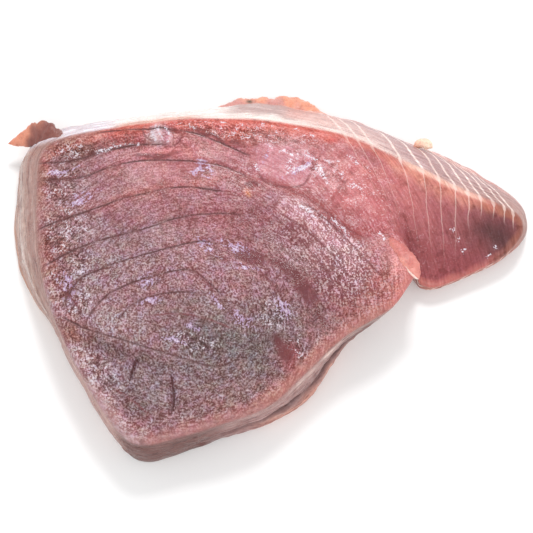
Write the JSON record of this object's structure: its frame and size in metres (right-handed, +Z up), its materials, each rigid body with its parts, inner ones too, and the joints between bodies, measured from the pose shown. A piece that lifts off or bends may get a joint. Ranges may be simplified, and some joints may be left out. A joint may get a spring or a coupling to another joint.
{
  "type": "tuna fillet",
  "caption": "Raw skinned tuna slab cut across the belly quarter, with bands of muscle round a bullseye and a thin belly flap folded down at one side.",
  "frame": {"origin": "under the middle of the fillet's box, on the surface that it lies on", "axes": "+X along the fillet from the thick loin to the tip of the belly flap, +Y to the skinned back, +Z up out of the upper cut face"},
  "size_m": [0.2278, 0.1621, 0.0302],
  "materials": {
    "flesh": "moist raw fish flesh, dull red to pink, with wet glints"
  },
  "bodies": {
    "root": {"fillet": "flesh"}
  },
  "joints": []
}
